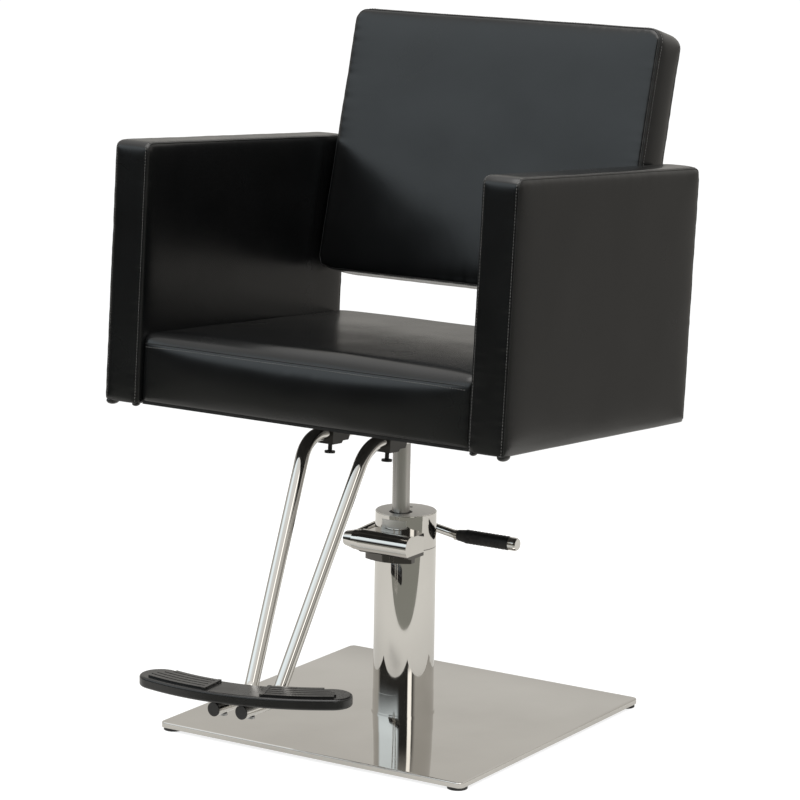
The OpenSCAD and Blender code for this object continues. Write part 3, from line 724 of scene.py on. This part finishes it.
def make_camera():
    back = Vector((math.sin(CAMERA_AZIMUTH) * math.cos(CAMERA_RISE),
                   -math.cos(CAMERA_AZIMUTH) * math.cos(CAMERA_RISE), math.sin(CAMERA_RISE)))
    level = Vector((0, 0, 1)).cross(back).normalized()
    upward = back.cross(level)
    right = level * math.cos(CAMERA_ROLL) + upward * math.sin(CAMERA_ROLL)
    up = upward * math.cos(CAMERA_ROLL) - level * math.sin(CAMERA_ROLL)
    data = bpy.data.cameras.new("camera")
    data.lens = LENS
    data.sensor_width = 36
    data.clip_end = 100
    camera = bpy.data.objects.new("camera", data)
    placed = Matrix((right, up, back)).transposed().to_4x4()
    placed.translation = CAMERA_AT
    camera.matrix_world = placed
    bpy.context.scene.collection.objects.link(camera)
    bpy.context.scene.camera = camera


def make_world():
    """A white cyclorama to the eye; in reflections, a studio with its boxes and dark corners."""
    world = bpy.data.worlds.new("studio")
    world.use_nodes = True
    bpy.context.scene.world = world
    tree = world.node_tree
    tree.nodes.clear()
    add, link = tree.nodes.new, tree.links.new
    towards = add("ShaderNodeTexCoord").outputs["Generated"]
    axes = add("ShaderNodeSeparateXYZ")
    link(towards, axes.inputs[0])

    def ramp(source, start, stop):
        node = add("ShaderNodeMapRange")
        node.interpolation_type = "SMOOTHSTEP"
        node.inputs["From Min"].default_value = start
        node.inputs["From Max"].default_value = stop
        link(source, node.inputs["Value"])
        return node.outputs["Result"]

    def times(a, b):
        node = add("ShaderNodeMath")
        node.operation = "MULTIPLY"
        link(a, node.inputs[0])
        link(b, node.inputs[1])
        return node.outputs[0]

    def inverse(a):
        node = add("ShaderNodeMath")
        node.operation = "SUBTRACT"
        node.inputs[0].default_value = 1
        link(a, node.inputs[1])
        return node.outputs[0]

    def bearing(angle, outer, inner):
        """Mask of the directions near one compass angle, measured from the chair's front."""
        level = add("ShaderNodeVectorMath")
        level.operation = "MULTIPLY"
        level.inputs[1].default_value = (1, 1, 0)
        unit = add("ShaderNodeVectorMath")
        unit.operation = "NORMALIZE"
        node = add("ShaderNodeVectorMath")
        node.operation = "DOT_PRODUCT"
        turned = math.radians(angle)
        node.inputs[1].default_value = (math.sin(turned), -math.cos(turned), 0)
        link(towards, level.inputs[0])
        link(level.outputs[0], unit.inputs[0])
        link(unit.outputs[0], node.inputs[0])
        return ramp(node.outputs["Value"], math.cos(math.radians(outer)), math.cos(math.radians(inner)))

    def blend(mask, under, colour):
        node = add("ShaderNodeMix")
        node.data_type = "RGBA"
        link(mask, node.inputs[0])
        if isinstance(under, tuple):
            node.inputs[6].default_value = (*under, 1)
        else:
            link(under, node.inputs[6])
        node.inputs[7].default_value = (*colour, 1)
        return node.outputs[2]

    glow = blend(ramp(axes.outputs["Z"], 0.0, 0.16), (0.34, 0.325, 0.30), (0.66, 0.64, 0.60))
    glow = blend(ramp(axes.outputs["Z"], 0.45, 0.9), glow, (1.25, 1.24, 1.22))
    front = times(inverse(ramp(axes.outputs["Y"], -0.45, -0.15)),
                  inverse(ramp(axes.outputs["Z"], 0.38, 0.55)))
    glow = blend(front, glow, (0.04, 0.039, 0.036))
    window = times(bearing(-31, 50, 36), times(ramp(axes.outputs["Z"], 0.15, 0.33),
                                               inverse(ramp(axes.outputs["Z"], 0.55, 0.70))))
    glow = blend(window, glow, (1.30, 1.44, 1.52))
    strip = times(bearing(56, 9, 5), times(ramp(axes.outputs["Z"], 0.08, 0.14),
                                           inverse(ramp(axes.outputs["Z"], 0.60, 0.70))))
    glow = blend(strip, glow, (2.2, 2.15, 2.05))
    studio = add("ShaderNodeBackground")
    link(glow, studio.inputs["Color"])
    plain = add("ShaderNodeBackground")
    plain.inputs["Color"].default_value = (1, 1, 1, 1)
    plain.inputs["Strength"].default_value = 1.05
    ray = add("ShaderNodeLightPath")
    choice = add("ShaderNodeMixShader")
    link(ray.outputs["Is Camera Ray"], choice.inputs[0])
    link(studio.outputs[0], choice.inputs[1])
    link(plain.outputs[0], choice.inputs[2])
    link(choice.outputs[0], add("ShaderNodeOutputWorld").inputs["Surface"])


def glow_material(name, seen, unseen):
    """Floor paint with a low glow of its own: (diffuse, glow) to the eye and to other rays."""
    material = bpy.data.materials.new(name)
    material.use_nodes = True
    tree = material.node_tree
    tree.nodes.clear()
    add, link = tree.nodes.new, tree.links.new
    sides = []
    for diffuse, glow in (unseen, seen):
        paint_node, light = add("ShaderNodeBsdfDiffuse"), add("ShaderNodeEmission")
        both = add("ShaderNodeAddShader")
        paint_node.inputs["Color"].default_value = (*diffuse, 1)
        light.inputs["Color"].default_value = (*glow, 1)
        link(paint_node.outputs[0], both.inputs[0])
        link(light.outputs[0], both.inputs[1])
        sides.append(both.outputs[0])
    choice = add("ShaderNodeMixShader")
    link(add("ShaderNodeLightPath").outputs["Is Camera Ray"], choice.inputs[0])
    link(sides[0], choice.inputs[1])
    link(sides[1], choice.inputs[2])
    link(choice.outputs[0], add("ShaderNodeOutputMaterial").inputs["Surface"])
    return material


def make_floor():
    bpy.ops.object.select_all(action="DESELECT")
    bpy.ops.mesh.primitive_circle_add(vertices=96, radius=1.7, fill_type="NGON", location=(0, 0, -0.0002))
    floor = bpy.context.object
    floor.name = "studio_floor"
    paint(floor, glow_material("pale_floor", ((0.35,) * 3, (0.80,) * 3),
                               ((0.45, 0.445, 0.43), (0.37, 0.362, 0.345))))
    bpy.ops.object.select_all(action="DESELECT")
    bpy.ops.mesh.primitive_plane_add(size=1)
    card = bpy.context.object
    card.name = "dark_front_card"
    near, depth, width = 0.56, 4.0, 9.0
    ahead = Vector((math.sin(CAMERA_AZIMUTH), -math.cos(CAMERA_AZIMUTH), 0))
    card.matrix_world = (Matrix.Translation(ahead * (near + depth / 2) + Vector((0, 0, 0.0008)))
                         @ Matrix.Rotation(CAMERA_AZIMUTH, 4, "Z") @ Matrix.Diagonal((width, depth, 1, 1)))
    glow = (0.29, 0.29, 0.255)
    paint(card, glow_material("dark_card", ((0.1,) * 3, (0.0,) * 3), ((0.02,) * 3, glow)))
    card.visible_camera = False
    card.visible_diffuse = False
    card.visible_shadow = False


def make_lights():
    data = bpy.data.lights.new("overhead_box", "AREA")
    data.shape = "RECTANGLE"
    data.size, data.size_y = 2.6, 2.2
    data.energy = 45
    data.color = (1.0, 0.985, 0.96)
    lamp = bpy.data.objects.new("overhead_box", data)
    lamp.location = (0.4, -0.6, 3.0)
    lamp.rotation_euler = (math.radians(10), math.radians(8), 0)
    bpy.context.scene.collection.objects.link(lamp)


make_camera()
make_world()
make_floor()
make_lights()
bpy.context.scene.view_settings.view_transform = "Standard"

for obj in list(bpy.context.scene.objects):
    obj.select_set(False)
